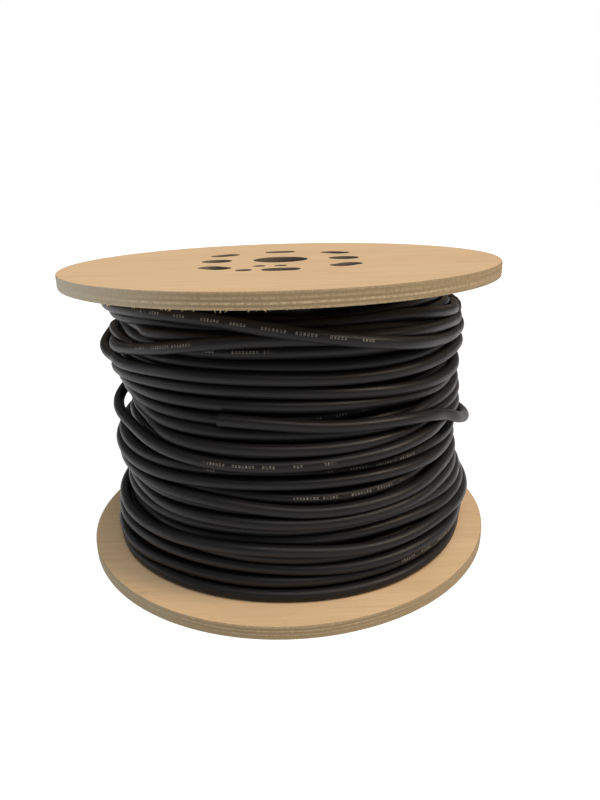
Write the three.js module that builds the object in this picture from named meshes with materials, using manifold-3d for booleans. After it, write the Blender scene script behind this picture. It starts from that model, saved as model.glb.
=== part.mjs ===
// A plywood cable drum standing on one flange, wound with black rubber-sheathed single-core cable.
// Millimetres, +Z up along the drum's axis, origin at the centre of the face the drum stands on.
// The front of the drum is -Y.
import * as THREE from "three";
import { mergeVertices } from "three/addons/utils/BufferGeometryUtils.js";
import Module from "manifold-3d";

const wasm = await Module();
wasm.setup();

// Driving dimensions
const FLANGE_DIAMETER = 300;
const PLY_THICKNESS = 9; // both flanges are 9 mm plywood
const DRUM_WIDTH = 202; // over the outsides of the flanges
const SPINDLE_BORE = 38;
const EDGE_EASE = 0.6; // the sharp arris is taken off the rim

// The drive holes take a driving pin beside the spindle.
const DRIVE_HOLE_DIAMETER = 21;
const DRIVE_HOLE_RADIUS = 45; // from the axis
const DRIVE_HOLE_ANGLES = [0, 180];

// The slots are milled windows on one ring; their long side lies across the radius.
const SLOT_LENGTH = 24;
const SLOT_WIDTH = 15;
const SLOT_CORNER = 7.2;
const SLOT_RADIUS = 60; // from the axis to the slot's middle
const SLOT_ANGLES = [45, 90, 135, 225, 270, 315];

// Small drilled holes, in the upper flange only: [x, y, diameter]
const SMALL_HOLES = [
  [-23, -59, 10],
  [-14, -38, 8],
  [0, -39, 8],
];

// The barrel is a tube whose ends sit in a groove in each flange.
const BARREL_DIAMETER = 150;
const BARREL_WALL = 5;
const GROOVE_DEPTH = 3;
const FIT_GAP = 0.3; // clearance between pieces that touch

// The cable is wound side by side in layers, from the barrel outwards.
const CABLE_DIAMETER = 7.4;
const TURNS_PER_LAYER = 24;
const PACK_RADIUS_LOW = 129; // a loose wind slumps towards the lower flange
const PACK_RADIUS_HIGH = 123;

// Smoothness of the round shapes
const RIM_SEGMENTS = 72;
const HOLE_SEGMENTS = 24;
const BARREL_SEGMENTS = 64;
const CABLE_SEGMENTS = 36;
const TURN_STEPS = 4; // straight steps round the outside of one turn

// Sizes worked out from the ones above
const FLANGE_RADIUS = FLANGE_DIAMETER / 2;
const BARREL_RADIUS = BARREL_DIAMETER / 2;
const LOWER_FACE = PLY_THICKNESS; // inner face of the lower flange
const UPPER_FACE = DRUM_WIDTH - PLY_THICKNESS; // inner face of the upper flange

const plywood = new THREE.MeshStandardMaterial({ color: 0xd6b485, roughness: 0.7, metalness: 0 });
const barrelBoard = new THREE.MeshStandardMaterial({ color: 0xb5956a, roughness: 0.85, metalness: 0 });
const cableRubber = new THREE.MeshStandardMaterial({ color: 0x26262a, roughness: 0.55, metalness: 0 });

// A turned ring from a closed outline of [radius, height] points that runs anticlockwise.
function turnedRing(outline, segments) {
  const closed = [...outline, outline[0]];
  const ring = new THREE.LatheGeometry(
    closed.map(([radius, height]) => new THREE.Vector2(radius, height)),
    segments,
  );
  return ring.rotateX(Math.PI / 2);
}

// A closed three.js geometry as a manifold-3d solid.
function solidOf(geometry) {
  const bare = geometry.clone();
  bare.deleteAttribute("normal");
  bare.deleteAttribute("uv");
  const merged = mergeVertices(bare, 1e-4);
  return new wasm.Manifold(
    new wasm.Mesh({
      numProp: 3,
      vertProperties: merged.attributes.position.array,
      triVerts: new Uint32Array(merged.index.array),
    }),
  );
}

function geometryOf(solid) {
  const mesh = solid.getMesh();
  const geometry = new THREE.BufferGeometry();
  geometry.setAttribute("position", new THREE.BufferAttribute(mesh.vertProperties, 3));
  geometry.setIndex(new THREE.BufferAttribute(mesh.triVerts, 1));
  geometry.computeVertexNormals();
  return geometry;
}

// A round cutter longer than the flange is thick, standing on the point (x, y).
function roundCutter(x, y, diameter) {
  const cutter = new THREE.CylinderGeometry(diameter / 2, diameter / 2, 3 * PLY_THICKNESS, HOLE_SEGMENTS);
  return solidOf(cutter.rotateX(Math.PI / 2).translate(x, y, PLY_THICKNESS / 2));
}

// A slot cutter at an angle round the ring, with its long side across the radius.
function slotCutter(angle) {
  const halfLength = SLOT_LENGTH / 2;
  const halfWidth = SLOT_WIDTH / 2;
  const outline = new THREE.Shape();
  const corners = [
    [halfWidth, -halfLength, -1, 1],
    [halfWidth, halfLength, -1, -1],
    [-halfWidth, halfLength, 1, -1],
    [-halfWidth, -halfLength, 1, 1],
  ];
  corners.forEach(([x, y, inwardX, inwardY], i) => {
    const start = (i - 1) * (Math.PI / 2);
    outline.absarc(
      x + inwardX * SLOT_CORNER,
      y + inwardY * SLOT_CORNER,
      SLOT_CORNER,
      start,
      start + Math.PI / 2,
      false,
    );
  });
  const cutter = new THREE.ExtrudeGeometry(outline, {
    depth: 3 * PLY_THICKNESS,
    bevelEnabled: false,
    curveSegments: 4,
  });
  cutter.translate(SLOT_RADIUS, 0, -PLY_THICKNESS);
  return solidOf(cutter.rotateZ(THREE.MathUtils.degToRad(angle)));
}

// A flange lying on its outer face: height 0 is outside, PLY_THICKNESS faces the cable.
function flangeGeometry(smallHoles) {
  const bore = SPINDLE_BORE / 2;
  const grooveFloor = PLY_THICKNESS - GROOVE_DEPTH;
  const grooveInner = BARREL_RADIUS - BARREL_WALL - FIT_GAP;
  const grooveOuter = BARREL_RADIUS + FIT_GAP;
  const outline = [
    [bore, 0],
    [FLANGE_RADIUS - EDGE_EASE, 0],
    [FLANGE_RADIUS, EDGE_EASE],
    [FLANGE_RADIUS, PLY_THICKNESS - EDGE_EASE],
    [FLANGE_RADIUS - EDGE_EASE, PLY_THICKNESS],
    [grooveOuter, PLY_THICKNESS],
    [grooveOuter, grooveFloor],
    [grooveInner, grooveFloor],
    [grooveInner, PLY_THICKNESS],
    [bore, PLY_THICKNESS],
  ];
  let flange = solidOf(turnedRing(outline, RIM_SEGMENTS));
  for (const angle of SLOT_ANGLES) {
    flange = flange.subtract(slotCutter(angle));
  }
  for (const angle of DRIVE_HOLE_ANGLES) {
    const turn = THREE.MathUtils.degToRad(angle);
    const x = DRIVE_HOLE_RADIUS * Math.cos(turn);
    const y = DRIVE_HOLE_RADIUS * Math.sin(turn);
    flange = flange.subtract(roundCutter(x, y, DRIVE_HOLE_DIAMETER));
  }
  for (const [x, y, diameter] of smallHoles) {
    flange = flange.subtract(roundCutter(x, y, diameter));
  }
  return geometryOf(flange);
}

function barrelGeometry() {
  const inner = BARREL_RADIUS - BARREL_WALL;
  const low = LOWER_FACE - GROOVE_DEPTH + FIT_GAP;
  const high = UPPER_FACE + GROOVE_DEPTH - FIT_GAP;
  const outline = [
    [inner, low],
    [BARREL_RADIUS, low],
    [BARREL_RADIUS, high],
    [inner, high],
  ];
  return turnedRing(outline, BARREL_SEGMENTS);
}

// The wound cable as one turned solid: a half-round ridge for each turn of the outer layer.
function cableGeometry() {
  const low = LOWER_FACE + FIT_GAP;
  const high = UPPER_FACE - FIT_GAP;
  const inner = BARREL_RADIUS + FIT_GAP;
  const pitch = (high - low) / TURNS_PER_LAYER;
  const outline = [[inner, low]];
  for (let turn = 0; turn < TURNS_PER_LAYER; turn += 1) {
    const share = (turn + 0.5) / TURNS_PER_LAYER;
    const crown = THREE.MathUtils.lerp(PACK_RADIUS_LOW, PACK_RADIUS_HIGH, share);
    const centreRadius = crown - CABLE_DIAMETER / 2;
    const centreHeight = low + pitch * (turn + 0.5);
    for (let step = 0; step <= TURN_STEPS; step += 1) {
      const around = Math.PI * (step / TURN_STEPS - 0.5);
      outline.push([
        centreRadius + (CABLE_DIAMETER / 2) * Math.cos(around),
        centreHeight + (CABLE_DIAMETER / 2) * Math.sin(around),
      ]);
    }
  }
  outline.push([inner, high]);
  return turnedRing(outline, CABLE_SEGMENTS);
}

function piece(name, geometry, material) {
  const mesh = new THREE.Mesh(geometry, material);
  mesh.name = name;
  return mesh;
}

const lowerFlange = piece("lower_flange", flangeGeometry([]), plywood);

// The upper flange is turned over, so its small holes are given mirrored across the turn.
const upperFlange = piece(
  "upper_flange",
  flangeGeometry(SMALL_HOLES.map(([x, y, diameter]) => [x, -y, diameter])),
  plywood,
);
upperFlange.rotation.x = Math.PI;
upperFlange.position.z = DRUM_WIDTH;

const barrel = piece("barrel", barrelGeometry(), barrelBoard);
const cable = piece("cable", cableGeometry(), cableRubber);

const drum = new THREE.Group();
drum.add(lowerFlange, upperFlange, barrel, cable);

export default drum;
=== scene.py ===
# %% [markdown]
# # A plywood cable drum, wound with black rubber cable
#
# The drum is two round plywood flanges and a tube between them, the barrel. About a hundred
# metres of single-core cable is wound on the barrel by hand, so the turns cross, sag and climb
# over each other. The wood is easy to model; the winding is what makes the drum look real.
#
# The lesson goes in this order: the frame, the camera and the light, the cable's path, the cable
# itself, the two flanges, the barrel and the splinters. Each finish comes just before the piece
# that wears it.

# %% Load the frame
import math

import bmesh
import bpy
import numpy as np
from mathutils import Matrix, Vector
from mathutils.geometry import delaunay_2d_cdt


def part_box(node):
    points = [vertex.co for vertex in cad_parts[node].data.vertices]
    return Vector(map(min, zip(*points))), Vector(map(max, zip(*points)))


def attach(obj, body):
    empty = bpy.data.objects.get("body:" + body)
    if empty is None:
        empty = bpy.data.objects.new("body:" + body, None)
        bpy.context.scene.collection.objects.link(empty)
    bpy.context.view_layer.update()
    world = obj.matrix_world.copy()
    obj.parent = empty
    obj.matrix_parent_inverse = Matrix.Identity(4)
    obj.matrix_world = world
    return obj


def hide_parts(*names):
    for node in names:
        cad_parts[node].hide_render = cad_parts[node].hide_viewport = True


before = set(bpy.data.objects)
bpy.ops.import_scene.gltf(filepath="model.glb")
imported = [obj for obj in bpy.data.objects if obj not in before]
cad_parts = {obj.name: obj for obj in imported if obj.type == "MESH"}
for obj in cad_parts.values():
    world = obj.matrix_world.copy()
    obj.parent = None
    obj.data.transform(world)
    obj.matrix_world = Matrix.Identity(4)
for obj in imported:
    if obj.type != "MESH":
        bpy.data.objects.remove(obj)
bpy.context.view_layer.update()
MM = 0.001
print("CAD nodes:", sorted(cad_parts))

# %% [markdown]
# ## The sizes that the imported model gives
#
# Every length below is in millimetres and is turned to metres when a mesh is made. The flanges
# and the barrel take their sizes and places from the boxes of the CAD nodes. The holes and the
# turns of cable are written down further on.

# %% Read the sizes
lower_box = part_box("lower_flange")
upper_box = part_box("upper_flange")
barrel_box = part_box("barrel")
FLANGE_RADIUS = lower_box[1].x / MM
PLY_THICKNESS = lower_box[1].z / MM
DRUM_WIDTH = upper_box[1].z / MM
BARREL_RADIUS = barrel_box[1].x / MM
BARREL_ENDS = (barrel_box[0].z / MM, barrel_box[1].z / MM)
print("flange", FLANGE_RADIUS, "ply", PLY_THICKNESS, "width", DRUM_WIDTH, "barrel", BARREL_RADIUS)

# %% [markdown]
# ## Four small helpers
#
# A node tree is a list of nodes and the links between them. One function sets the inputs of a
# node or links them, and another adds a new node that way, for shader trees and geometry trees
# alike. The third turns a colour written as on a paint card into the linear numbers that a
# renderer works in. The last puts an object in the scene.


# %% Make the helpers
def plug(tree, node, inputs):
    """Sets inputs. Each takes a plain value, an output, or a node, whose first output is meant."""
    for name, value in inputs.items():
        if isinstance(name, int):
            socket = node.inputs[name]
        else:
            socket = next(s for s in node.inputs if s.enabled and s.name == name)
        if isinstance(value, bpy.types.Node):
            value = next(output for output in value.outputs if output.enabled)
        if isinstance(value, bpy.types.NodeSocket):
            tree.links.new(value, socket)
        else:
            socket.default_value = value


def add(tree, kind, inputs=None, **settings):
    """A new node with these settings and inputs."""
    node = tree.nodes.new(kind)
    for key, value in settings.items():
        setattr(node, key, value)
    plug(tree, node, inputs or {})
    return node


def colour(card):
    """An sRGB hex colour as linear red, green, blue and alpha."""
    parts = [int(card[i : i + 2], 16) / 255 for i in (1, 3, 5)]
    linear = [p / 12.92 if p <= 0.04045 else ((p + 0.055) / 1.055) ** 2.4 for p in parts]
    return (*linear, 1.0)


def link(obj):
    """Puts an object in the scene and hands it back."""
    bpy.context.scene.collection.objects.link(obj)
    return obj


# %% [markdown]
# ## The camera
#
# The drum is seen from the front and a little above. The camera stands close, so the near edge
# of each flange looks wider than the far edge. It was held a degree or two off level, which the
# last turn about its own axis gives back.

# %% Place the camera
CAMERA_PLACE = (0.0, -0.4361, 0.2445)
CAMERA_DOWN = 18.78
CAMERA_ASIDE = -1.45
CAMERA_ROLL = -1.61
LENS = 27.036

camera_data = bpy.data.cameras.new("camera")
camera_data.lens = LENS
camera_data.sensor_width = 36.0
camera = link(bpy.data.objects.new("camera", camera_data))
camera.matrix_world = (
    Matrix.Translation(CAMERA_PLACE)
    @ Matrix.Rotation(math.radians(CAMERA_ASIDE), 4, "Z")
    @ Matrix.Rotation(math.radians(90 - CAMERA_DOWN), 4, "X")
    @ Matrix.Rotation(math.radians(CAMERA_ROLL), 4, "Z")
)
bpy.context.scene.camera = camera
print("camera looks down", CAMERA_DOWN, "degrees")

# %% [markdown]
# ## The floor and the light
#
# The drum stands on a white light table, a sheet of opal acrylic lit from below, so it throws
# almost no shadow and the undersides of the turns get some light back. One large soft light
# overhead, a little in front, makes the top of the drum bright and leaves the vertical faces
# darker. A warm light on the right and a weak cool one on the left give the rims and the cable
# their different edges. The world gives the rest.

# %% Lay the floor and hang the lights
FLOOR_HALF = 6.0
floor_mesh = bpy.data.meshes.new("floor")
floor_mesh.from_pydata(
    [(x * FLOOR_HALF, y * FLOOR_HALF, 0.0) for x, y in ((-1, -1), (1, -1), (1, 1), (-1, 1))],
    [],
    [(0, 1, 2, 3)],
)
floor = link(bpy.data.objects.new("floor", floor_mesh))
floor_paint = bpy.data.materials.new("floor opal acrylic lit from below")
floor_paint.use_nodes = True
plug(floor_paint.node_tree, floor_paint.node_tree.nodes["Principled BSDF"], {
    "Base Color": colour("#808080"),
    "Emission Color": colour("#ffffff"),
    "Emission Strength": 0.93,
    "Roughness": 0.9,
    "Specular IOR Level": 0.1,
})
floor_mesh.materials.append(floor_paint)

LIGHTS = {  # name: turn from the front to the right, height and softness in degrees, strength, colour
    "overhead": (35, 72, 50, 2.2, "#fdfdff"),
    "right_warm": (72, 43, 20, 1.75, "#ffe4c4"),
    "left_cool": (-88, 12, 35, 0.35, "#e4ecff"),
}
for name, (aside, up, softness, strength, card) in LIGHTS.items():
    lamp = bpy.data.lights.new(name, "SUN")
    lamp.angle = math.radians(softness)
    lamp.energy = strength
    lamp.color = colour(card)[:3]
    lamp_object = link(bpy.data.objects.new(name, lamp))
    turn, rise = math.radians(aside), math.radians(up)
    source = Vector((math.sin(turn) * math.cos(rise), -math.cos(turn) * math.cos(rise), math.sin(rise)))
    lamp_object.location = source * 2
    lamp_object.rotation_euler = source.to_track_quat("Z", "Y").to_euler()

SKY_LIGHT = 0.2
SKY_SEEN = 1.0
world = bpy.data.worlds.new("studio")
bpy.context.scene.world = world
world.use_nodes = True
sky = world.node_tree
sky.nodes.clear()
seen = add(sky, "ShaderNodeLightPath").outputs["Is Camera Ray"]
strength = add(sky, "ShaderNodeMapRange", {"Value": seen, "To Min": SKY_LIGHT, "To Max": SKY_SEEN})
backdrop = add(sky, "ShaderNodeBackground", {"Color": colour("#ffffff"), "Strength": strength})
add(sky, "ShaderNodeOutputWorld", {"Surface": backdrop})
bpy.context.scene.view_settings.view_transform = "Standard"
print(len(LIGHTS), "lights")

# %% [markdown]
# ## Where the cable lies
#
# A winding could be drawn as a neat helix, but this one was wound by hand and then handled. Each
# visible turn is therefore written down: how high it lies at a few angles round the front, on
# which layer it lies, and how far out it reaches at the left and right sides. Angle 0 is the
# front, and the angles grow to the right. The height at 180 is where the turn passes behind.
#
# Level 0 is a turn pressed into the gaps, 1 lies in the outer layer, 2 lies on top of it, and 3
# crosses over that. A level in between says which of two neighbours gives way to the other.

# %% Write down the turns
# name: level, reach at the left, reach at the right, {angle: height}
TURNS = {
    "T1": (0, 120.5, 112, {-73: 189, -40: 189, 0: 188.5, 40: 186, 73: 181, 180: 185}),
    "S1": (3, 120, 122.8, {-73: 181, -60: 183.5, -45: 185, -30: 185, -20: 184, -10: 182, 0: 179,
        10: 175.3, 20: 170.8, 30: 166.6, 40: 162.6, 50: 159.3, 60: 157.3, 73: 157.8, 180: 188.5}),
    "T2": (0.5, 115, 121.8, {-73: 175.5, -45: 177.5, -20: 177, 20: 178.3, 45: 177, 60: 173, 73: 166.5,
        180: 163}),
    "Tc": (0.5, 113, 118, {-73: 172, -45: 172.6, -20: 172.8, 20: 174.5, 45: 170.8, 60: 168, 73: 163.5,
        180: 181}),
    "Td": (0.5, 113, 118, {-73: 167, -45: 165.6, -20: 163.8, 0: 164.9, 20: 163.5, 45: 161.9, 60: 161.5,
        73: 161, 180: 166}),
    "S3": (2, 117, 118, {-73: 158, -61: 156.8, -50: 159, -40: 163, -30: 167, -20: 171, -10: 173.8,
        0: 174.4, 30: 170.6, 50: 168, 60: 166.5, 73: 164, 180: 173.5}),
    "S5": (1, 116.6, 119, {-73: 163, -60: 160.5, -45: 156.8, -30: 157, -10: 156.8, 0: 156.3, 20: 154.4,
        45: 153, 60: 151.5, 73: 148.5, 180: 158.5}),
    "S6": (2.8, 125.3, 122.8, {-120: 159, -100: 159, -90: 157.5, -82: 154.5, -73: 151, -66: 148.8,
        -53: 149.9, -42: 151, -30: 151.7, -20: 151.6, -10: 151.3, 0: 150.6, 10: 149.2, 20: 148,
        30: 147.5, 45: 147.5, 60: 149, 73: 148, 180: 151}),
    "S7": (1.5, 119.5, 122.9, {-73: 138, -56: 141, -43: 142.6, -30: 143.4, -20: 143.5, -10: 143.1,
        0: 142.5, 10: 140.8, 20: 139, 30: 136.8, 42: 134.8, 52: 133.5, 64: 132.6, 73: 133, 180: 143.5}),
    "S8": (1, 113.5, 120, {-73: 131, -57: 132.5, -44: 134.3, -20: 134.7, 0: 134, 10: 132.8, 20: 131.4,
        30: 129.8, 42: 128.2, 53: 127, 73: 124.5, 180: 136}),
    "S9": (0, 113.5, 117, {-73: 126.5, -45: 125.8, -20: 124.6, 0: 124.4, 20: 123.9, 34: 123, 46: 122.5,
        60: 121, 73: 119.5, 180: 128.5}),
    "S10": (2.5, None, 131.2, {-19.5: 127.4, -10: 127, -5: 125.9, 0: 124.6, 5: 123, 10: 121.6,
        20: 120.2, 30: 119.6, 38: 118.2, 44: 116.3, 50: 112, 56: 106.4, 62: 100, 68: 95.3, 75: 92,
        83: 90, 92: 88.5, 180: 88.5}),
    "S11": (0.7, 108, 120, {-73: 119.5, -57: 119, -45: 118.8, -33: 118.5, -22: 118, -11: 117.7,
        0: 117.2, 11: 115.9, 21: 114.6, 32: 115.3, 43: 117.8, 56: 120.7, 73: 122.5, 180: 122}),
    "S12": (0.3, 108, 123.9, {-73: 111.5, -53: 111.2, -46: 111, -34: 110.1, -22: 109.9, -11: 109.7,
        0: 109.5, 20: 108.6, 33: 108.2, 45: 109.5, 60: 112.5, 73: 115.7, 180: 114.5}),
    "S13": (0, 109.5, 118, {-73: 104.5, -45: 105, -28: 105, -11: 104, 0: 104.4, 11: 105, 22: 103.6,
        35: 102, 73: 105, 180: 107}),
    "S14": (2, 121, 123.9, {-95: 119, -85: 114.5, -73: 110.5, -60: 109.5, -50: 106.8, -42: 104.6,
        -31: 102.1, -21: 100.4, -10: 99.8, 0: 100.1, 10: 100.6, 20: 101.4, 30: 103, 40: 104.9, 55: 106,
        73: 104.5, 180: 98.5}),
    "S15": (0.3, 119.5, 122, {-73: 91, -53: 90, -34: 91.7, -22: 92.2, 0: 91.4, 22: 89.8, 44: 89.3,
        57: 89.2, 73: 88, 180: 84}),
    "S16": (1, 121.1, 120.5, {-73: 84, -60: 83.3, -44: 84.4, -32: 85.8, -21: 87, -11: 87.8, 0: 87.5,
        10: 87, 31: 86, 42: 84.9, 53: 83.3, 73: 80.5, 180: 77}),
    "S17": (0.2, 118, 116.5, {-73: 81, -47: 80.3, -34: 80.3, -22: 80, -11: 78.7, 0: 77.2, 11: 75.7,
        22: 75.1, 32: 76, 42: 77.7, 52: 79.5, 60: 79.5, 73: 78, 180: 76}),
    "S18": (1.5, 120.5, 121.5, {-73: 75.5, -56: 76, -43: 76.5, -32: 76.5, -21: 75.8, -10: 73.6, 0: 70.8,
        10: 69.6, 20: 69.4, 41: 70.3, 52: 71.2, 64: 70, 73: 68.5, 180: 69}),
    "S19": (0.5, 116, 121.5, {-73: 68, -57: 68.3, -44: 68.6, -32: 69, -21: 68.8, -11: 67.5, 0: 66.3,
        20: 65.8, 40: 66.2, 60: 66, 73: 65, 180: 61.5}),
    "S20": (1, 115.5, 124, {-73: 61, -57: 61.3, -44: 61.7, -32: 62.9, -21: 63.8, -10: 63.8, 0: 63,
        10: 62.3, 21: 62.4, 31: 63, 42: 63.6, 53: 63, 73: 60, 180: 54}),
    "S21": (1, 117, 128, {-73: 54, -57: 54, -44: 54.2, -32: 55.2, -21: 56, -10: 56.4, 0: 56.5, 10: 56.8,
        21: 57, 31: 57.4, 42: 57, 53: 55.5, 73: 52.5, 180: 46.5}),
    "S22": (0.8, 116, 131, {-73: 43, -50: 45, -40: 45.8, -20: 47.8, -10: 48.6, 0: 49.2, 10: 49.8,
        20: 50, 30: 50, 40: 49.9, 50: 49.4, 62: 47.5, 73: 45.5, 180: 40}),
    "S23": (2, 122.3, 132, {-73: 41, -50: 43.4, -40: 44.2, -30: 45.2, -20: 46.2, -10: 46.5, 0: 45.6,
        5: 44.2, 10: 42.6, 15: 41.2, 20: 40.3, 30: 39.8, 40: 41, 50: 42.7, 62: 42, 73: 39, 180: 34}),
    "S24a": (0.6, 123.5, 131.5, {-73: 37.5, -50: 40.3, -40: 39.5, -20: 38.8, 0: 37.5, 10: 36, 20: 34.8,
        30: 34.5, 45: 36, 60: 35.5, 73: 32.5, 180: 27.5}),
    "S24b": (0.8, 126.5, 130, {-73: 31.5, -50: 35, -40: 33.8, -20: 31.8, 0: 29.8, 10: 29, 20: 29,
        30: 29.6, 40: 31, 50: 32, 60: 31, 73: 27, 180: 20.5}),
    "S25": (1, 128, 129, {-73: 19.5, -57: 20.5, -44: 20.9, -20: 21, 0: 21, 21: 20.8, 31: 21.2, 42: 22.3,
        53: 22.8, 73: 19.5, 180: 12.9}),
    "S26": (1.5, 127, 131, {-73: 12.7, 0: 12.7, 73: 12.7, 180: 12.7}),
}
LOOPS = {  # turns that stand off the pack at a side: {angle: radius}
    "T1": {-10: 118, 5: 113, 20: 108, 45: 103, 60: 101, 85: 101, 110: 106, 125: 113},
    "S6": {-120: 112, -105: 114, -95: 117, -88: 120.5, -82: 124, -76: 126, -70: 125, -58: 121},
    "S14": {-112: 110, -100: 112, -92: 114.5, -85: 118.5, -78: 121, -70: 122, -62: 122},
    "S10": {50: 127, 60: 130, 70: 132.2, 80: 132, 90: 129, 100: 125},
    "S26": {-80: 127, -55: 127.5, -35: 126, -15: 125.2, 0: 125.7, 15: 127.5, 30: 129, 50: 129.3,
            75: 128.8},
}
# The right end of each turn is joined to the left end of the next one, round the back.
LAYS = (
    ("S9", "S8", "S7", "S3", "T2", "S6", "S5", "Td", "Tc", "S1", "T1"),
    ("S13", "S12", "S11", "S14", "S15", "S17"),
    ("S10", "S16", "S18", "S19", "S20", "S21", "S22", "S23", "S24a", "S24b", "S25", "S26"),
)
NAMES = [name for lay in LAYS for name in lay]
print(len(NAMES), "turns in", len(LAYS), "runs of cable")

# %% [markdown]
# ## Laying the turns on each other
#
# The written heights alone would let turns run through each other. So the winding is laid as a
# loaded spring would settle: every turn is cut at the same stations round the drum, and then,
# again and again, each is drawn inwards by its tension, pulled towards its written height, held
# where it is written to reach out, and pushed off its neighbours wherever two centre lines come
# closer than one diameter. A hidden layer of plain turns lies underneath.
#
# A second spell of rounds has weak pulls, a strong push and a floor that gives way. After it,
# outer turns that cross press into each other by about a millimetre at most, and into the hidden
# layer by two.
#
# The pack under the turns is not round. It leans to the right, has sagged low down, is dented at
# the left, necked in under the flange at the right, and hollow in two places in front.

# %% Shape the pack
CABLE = 7.4
STATIONS = 144
LAYER_STEP = 6.9  # two layers nest, so a layer adds less than one diameter
OUTER_LAYER = 121.5  # radius of the outer layer's centre lines
LEAN, SLUMP, SPREAD, TAPER, DENT, NECK, HOLLOW = 2.0, 5.5, 1.2, 2.0, 5.0, 8.0, 5.0
DENT_HEIGHTS = (168, 112)
HOLLOWS = ((125.5, 20), (92, 10))  # height, angle

angle = np.arange(STATIONS) * 360.0 / STATIONS - 180.0
turn_sine = np.sin(np.radians(angle))
front = np.clip((100 - np.abs(angle)) / 25, 0, 1)


def ease(u):
    """0 to 1 with a soft start and a soft stop."""
    u = np.clip(u, 0, 1)
    return u * u * (3 - 2 * u)


def layer_radius(height):
    """The outer layer's radius at these heights, at every station."""
    low = ease((75 - height) / 50)
    high = ease((height - 140) / 40)
    right = ease((turn_sine - 0.1) / 0.9)
    left = ease((-turn_sine - 0.55) / 0.4)
    dents = sum(ease(1.3 - np.abs(height - middle) / 12) for middle in DENT_HEIGHTS)
    neck = right * ease((height - 176) / 8)
    hollow = sum(
        ease(1.4 - np.abs(height - middle) / 5) * ease(1.4 - np.abs(angle - aside) / 30)
        for middle, aside in HOLLOWS
    )
    sag = LEAN * turn_sine + SLUMP * low * right + SPREAD * low
    return OUTER_LAYER + sag - TAPER * high - DENT * left * dents - NECK * neck - HOLLOW * hollow


print("radius of the pack half way up:", layer_radius(DRUM_WIDTH / 2).round(1).max(), "mm at most")

# %% Set the turns out
UNDER_TURNS = 24
UNDER_LEVEL = -0.9
UNDER_PITCH = 7.6
LOWEST = PLY_THICKNESS + CABLE / 2
HIGHEST = DRUM_WIDTH - PLY_THICKNESS - CABLE / 2
SIDE_ANGLE = 84
SIDE_SPAN = 32
SIDE_HOLD = 0.2
LOOP_HOLD = 0.5
at_left = ease(1.4 - np.abs(angle + SIDE_ANGLE) / SIDE_SPAN)
at_right = ease(1.4 - np.abs(angle - SIDE_ANGLE) / SIDE_SPAN)


def written_height(name, height_behind):
    """The height of one turn at every station, from its own table."""
    table = TURNS[name][3]
    at = sorted(table)
    return np.interp(angle, [-180, *at], [height_behind, *(table[a] for a in at)])


def soften(runs, amount, times=1):
    """Rounds each run off along its own length, as the cable's stiffness does."""
    start = 0
    for count in [len(lay) for lay in LAYS] + [UNDER_TURNS]:
        run = runs[start : start + count].reshape(-1)
        for _ in range(times):
            run[1:-1] += amount * (0.5 * (run[:-2] + run[2:]) - run[1:-1])
        start += count


wanted = []
for lay in LAYS:
    behind = TURNS[lay[0]][3][min(TURNS[lay[0]][3])]
    for name in lay:
        wanted.append(written_height(name, behind))
        behind = TURNS[name][3][180]
under_start = np.linspace(HIGHEST, LOWEST, UNDER_TURNS)[:, None]
wanted = np.vstack([wanted, under_start - angle[None, :] / 360 * UNDER_PITCH])
soften(wanted, 0.5, 8)
level = np.array([TURNS[name][0] for name in NAMES] + [UNDER_LEVEL] * UNDER_TURNS)[:, None]
count = len(level)
named = np.arange(count)[:, None] < len(NAMES)
reach = np.zeros((count, STATIONS))
hold = np.zeros((count, STATIONS))
for i, name in enumerate(NAMES):
    for side, value in ((at_left, TURNS[name][1]), (at_right, TURNS[name][2])):
        if value:
            hold[i] += side * SIDE_HOLD
            reach[i] += (side > 0) * value
    if name in LOOPS:
        at = sorted(LOOPS[name])
        loop = (angle >= at[0]) & (angle <= at[-1])
        hold[i] = np.where(loop, LOOP_HOLD, hold[i] * ~loop)
        reach[i] = np.where(loop, np.interp(angle, at, [LOOPS[name][a] for a in at]), reach[i])
print(len(NAMES), "written turns and", UNDER_TURNS, "hidden ones set out")

# %% Lay the winding
LEVEL_BIAS = 1.5  # where two turns meet, the one with the higher level goes outside
BACK_PULL, FRONT_PULL, UNDER_PULL = 0.04, 0.30, 0.02
SPELLS = (  # rounds, tension, pull, hold, push, give of the floor, climb, stiffness in and up
    (280, 0.06, 1.0, 1.0, 0.25, 0.0, 0.5, 0.5, 0.3),
    (100, 0.0, 0.15, 0.25, 0.35, 6.0, 0.4, 0.2, 0.15),
)
radius = layer_radius(wanted) + (level - 1) * LAYER_STEP
height = wanted + np.random.default_rng(7).normal(0, 0.05, wanted.shape)
height_pull = np.where(named, BACK_PULL + FRONT_PULL * front[None, :], UNDER_PULL)
for rounds, tension, pulled, held, shove, give, climb, stiff_in, stiff_up in SPELLS:
    for _ in range(rounds):
        floor_radius = layer_radius(height) - LAYER_STEP
        floor_radius = np.where(reach > 0, np.minimum(floor_radius, reach), floor_radius) - give
        radius -= tension
        height += pulled * height_pull * (wanted - height)
        radius += held * hold * (reach - radius)
        apart_r = radius[:, None] - radius[None]
        apart_z = height[:, None] - height[None]
        overlap = np.clip(CABLE - np.sqrt(apart_r**2 + apart_z**2), 0, None)
        apart_r = apart_r + LEVEL_BIAS * (level - level.T)[:, :, None]
        push = overlap * shove / (np.sqrt(apart_r**2 + apart_z**2) + 1e-9)
        radius = np.maximum(radius + (push * apart_r).sum(1), floor_radius)
        height = np.clip(height + climb * (push * apart_z).sum(1), LOWEST, HIGHEST)
        soften(radius, stiff_in)
        soften(height, stiff_up)
print("laid radii", radius[: len(NAMES)].min().round(1), "to", radius.max().round(1), "mm")

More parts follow.
